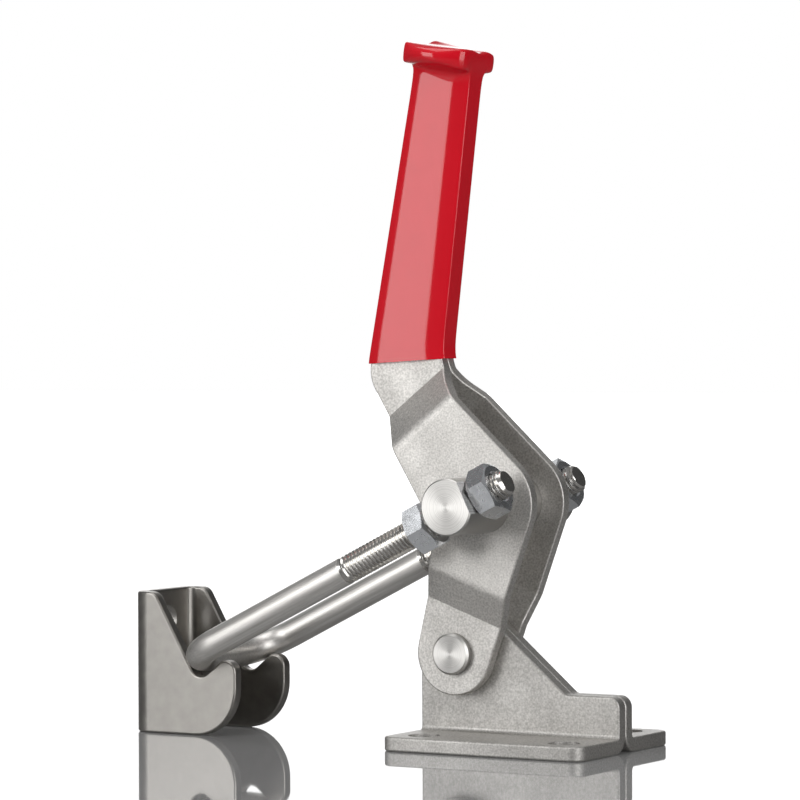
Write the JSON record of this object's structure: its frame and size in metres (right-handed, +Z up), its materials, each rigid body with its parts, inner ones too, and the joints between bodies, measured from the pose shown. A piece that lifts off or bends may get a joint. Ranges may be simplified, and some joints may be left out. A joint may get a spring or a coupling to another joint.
{
  "type": "toggle clamp",
  "caption": "Latch toggle clamp with an upright dipped handle, a swinging U-bolt hook held by nuts in a cross shaft, a folded bolt-down base and a hooked catch plate.",
  "frame": {"origin": "centre of the base's four-hole bolt pattern, on the mounting face", "axes": "+Z up from the mounting face along the handle's side, +X away from the catch, +Y across the clamp to its right side"},
  "size_m": [0.1526, 0.0598, 0.1952],
  "materials": {
    "blasted_plate": "bead-blasted stainless sheet, fine grain, bright tumbled edges",
    "turned_steel": "turned stainless with fine rings on the end faces",
    "drawn_rod": "drawn stainless rod, satin along its length, with rolled threads",
    "bright_nut": "bright machined hexagon nut",
    "satin_catch": "smooth satin stainless sheet, slightly warm",
    "red_vinyl": "glossy dipped red vinyl"
  },
  "bodies": {
    "base": {"base_plate_left": "blasted_plate", "base_plate_right": "blasted_plate", "pivot_pin": "turned_steel", "catch_plate": "satin_catch"},
    "handle": {"handle_plate_left": "blasted_plate", "handle_plate_right": "blasted_plate", "handle_grip": "red_vinyl"},
    "hook": {"trunnion": "turned_steel", "u_bolt": "drawn_rod", "outer_nut_left": "bright_nut", "outer_nut_right": "bright_nut", "inner_nut_left": "bright_nut", "inner_nut_right": "bright_nut"}
  },
  "joints": [
    {"name": "handle_pivot", "type": "hinge", "parent": "base", "child": "handle", "pos_m": [-0.01855, 0, 0.02576], "axis": [0, 1, 0], "range_deg": [0, 75]},
    {"name": "hook_swing", "type": "hinge", "parent": "handle", "child": "hook", "pos_m": [-0.0066, -0.0027, 0.0674], "axis": [0, 1, 0], "range_deg": [0, 94]}
  ]
}
